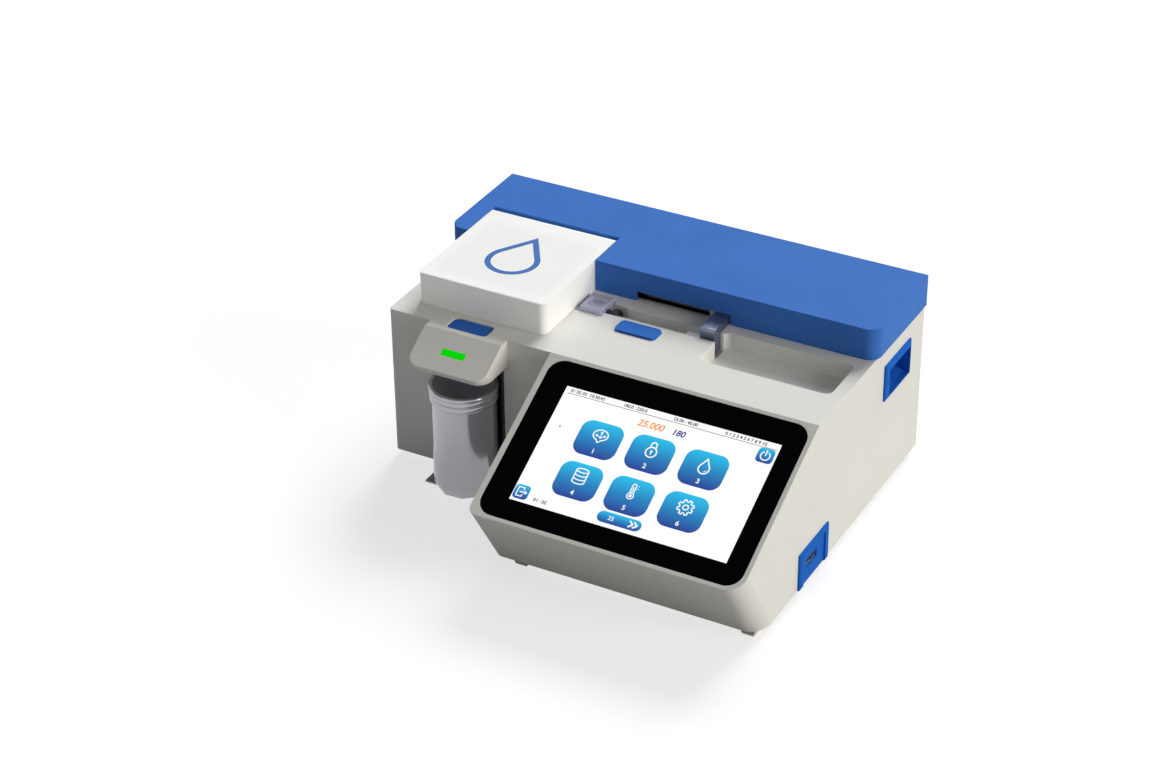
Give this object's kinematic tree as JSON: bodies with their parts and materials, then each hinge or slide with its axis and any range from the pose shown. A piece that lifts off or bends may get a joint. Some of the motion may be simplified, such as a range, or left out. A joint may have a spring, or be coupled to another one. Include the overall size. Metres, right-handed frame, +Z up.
{
  "type": "microfluidic viscometer",
  "caption": "Bench viscometer with a sloping touch screen, a hinged lid over a chip bay, a motor-driven pipette pusher and a waste bottle under a spout.",
  "frame": {"origin": "middle of the bounding box's footprint, on the surface that the feet stand on", "axes": "+X to the right as the user faces the screen, +Y to the back, +Z up"},
  "size_m": [0.322, 0.2858, 0.1404],
  "materials": {
    "case_plastic": "fine moulded texture, warm light grey",
    "sheet_steel": "zinc plated sheet",
    "foot_rubber": "pale rubber",
    "screw_steel": "blackened steel",
    "cover_blue": "satin blue",
    "screen_black": "black-backed cover glass",
    "display": "lit display",
    "bracket_aluminium": "satin",
    "board_green": "solder mask",
    "brass": "turned",
    "black_plastic": "moulded black",
    "fitting_blue": "satin blue",
    "lens_green": "lit green lens",
    "clear_tube": "clear tube",
    "shelf_metal": "blue-grey sheet",
    "bottle_grey": "glossy grey",
    "sink_metal": "anodised",
    "ceramic": "white ceramic",
    "chip_glass": "glass chip",
    "lid_white": "milky white, slightly translucent",
    "foam": "closed-cell foam",
    "button_blue": "satin blue",
    "pipette_clear": "clear moulded",
    "block_lilac": "lilac, translucent",
    "ground_steel": "ground rod",
    "motor_black": "black motor body",
    "pusher_metal": "dark blue-grey, brushed"
  },
  "bodies": {
    "chassis": {"housing": "case_plastic", "base_plate": "sheet_steel", "rear_panel": "sheet_steel", "feet": "foot_rubber", "housing_screws": "screw_steel", "top_cover": "cover_blue", "screen_glass": "screen_black", "display_panel": "display", "display_frame": "bracket_aluminium", "main_board": "board_green", "board_standoffs": "brass", "power_supply": "sheet_steel", "power_inlet": "black_plastic", "fan_frame": "black_plastic", "fan_grille": "ground_steel", "network_socket": "sheet_steel", "grip_right": "fitting_blue", "grip_left": "fitting_blue", "usb_bezel": "fitting_blue", "usb_socket": "ground_steel", "led_lens": "lens_green", "led_board": "board_green", "waste_nozzle": "black_plastic", "waste_tube": "clear_tube", "bottle_cradle": "black_plastic", "bottle_shelf": "shelf_metal", "chip_bay": "black_plastic", "thermal_block": "bracket_aluminium", "thermoelectric_cooler": "ceramic", "heat_sink": "sink_metal", "chip_carrier": "bracket_aluminium", "sensor_chip": "chip_glass", "chip_clamp": "ground_steel", "lid_hinge_pins": "ground_steel", "button_brackets": "sheet_steel", "pipette_barrel": "pipette_clear", "pipette_block": "block_lilac", "pipette_collar": "black_plastic", "drive_frame": "bracket_aluminium", "guide_rods": "ground_steel", "screw_bearing": "ground_steel", "stepper_motor": "motor_black", "limit_switch": "black_plastic"},
    "lid": {"lid_shell": "lid_white", "lid_insert": "foam", "lid_latch": "ground_steel"},
    "lid_release": {"lid_button": "button_blue", "lid_button_spring": "ground_steel"},
    "pipette_release": {"pipette_button": "button_blue", "pipette_button_spring": "ground_steel"},
    "carriage": {"carriage_block": "bracket_aluminium", "carriage_bushes": "brass", "drive_nut": "brass", "pusher": "pusher_metal"},
    "screw": {"lead_screw": "ground_steel", "motor_coupler": "bracket_aluminium"},
    "plunger": {"pipette_plunger": "pipette_clear"},
    "bottle": {"waste_bottle": "bottle_grey"},
    "mains_rocker": {"power_rocker": "black_plastic"},
    "fan": {"fan_rotor": "black_plastic"}
  },
  "joints": [
    {"name": "lid_hinge", "type": "hinge", "parent": "chassis", "child": "lid", "pos_m": [-0.09655, 0.0854, 0.1344], "axis": [-1, 0, 0], "range_deg": [0, 85]},
    {"name": "lid_button_press", "type": "slide", "parent": "chassis", "child": "lid_release", "axis": [0, 0, -1], "range_m": [0, 0.002], "stiffness_N_per_m": 300, "springref_m": -0.002, "deforming": ["lid_button_spring"]},
    {"name": "pipette_button_press", "type": "slide", "parent": "chassis", "child": "pipette_release", "axis": [0, 0, -1], "range_m": [0, 0.002], "stiffness_N_per_m": 300, "springref_m": -0.002, "deforming": ["pipette_button_spring"]},
    {"name": "carriage_slide", "type": "slide", "parent": "chassis", "child": "carriage", "axis": [-1, 0, 0], "range_m": [0, 0.05]},
    {"name": "screw_turn", "type": "hinge", "parent": "chassis", "child": "screw", "pos_m": [0, 0.0814, 0.117], "axis": [1, 0, 0], "range_deg": [0, 3600]},
    {"name": "plunger_slide", "type": "slide", "parent": "chassis", "child": "plunger", "axis": [-1, 0, 0], "range_m": [0, 0.05]},
    {"name": "bottle_slide", "type": "slide", "parent": "chassis", "child": "bottle", "axis": [0, -1, 0], "range_m": [0, 0.06]},
    {"name": "rocker_tilt", "type": "hinge", "parent": "chassis", "child": "mains_rocker", "pos_m": [-0.122, 0.1384, 0.058], "axis": [1, 0, 0], "range_deg": [0, 16]},
    {"name": "fan_spin", "type": "hinge", "parent": "chassis", "child": "fan", "pos_m": [0.096, 0.1314, 0.057], "axis": [0, 1, 0], "continuous": true}
  ],
  "couplings": [
    {"joint": "screw_turn", "follows": "carriage_slide", "rad_per_m": 1256.6},
    {"joint": "plunger_slide", "follows": "carriage_slide", "ratio": 1}
  ]
}
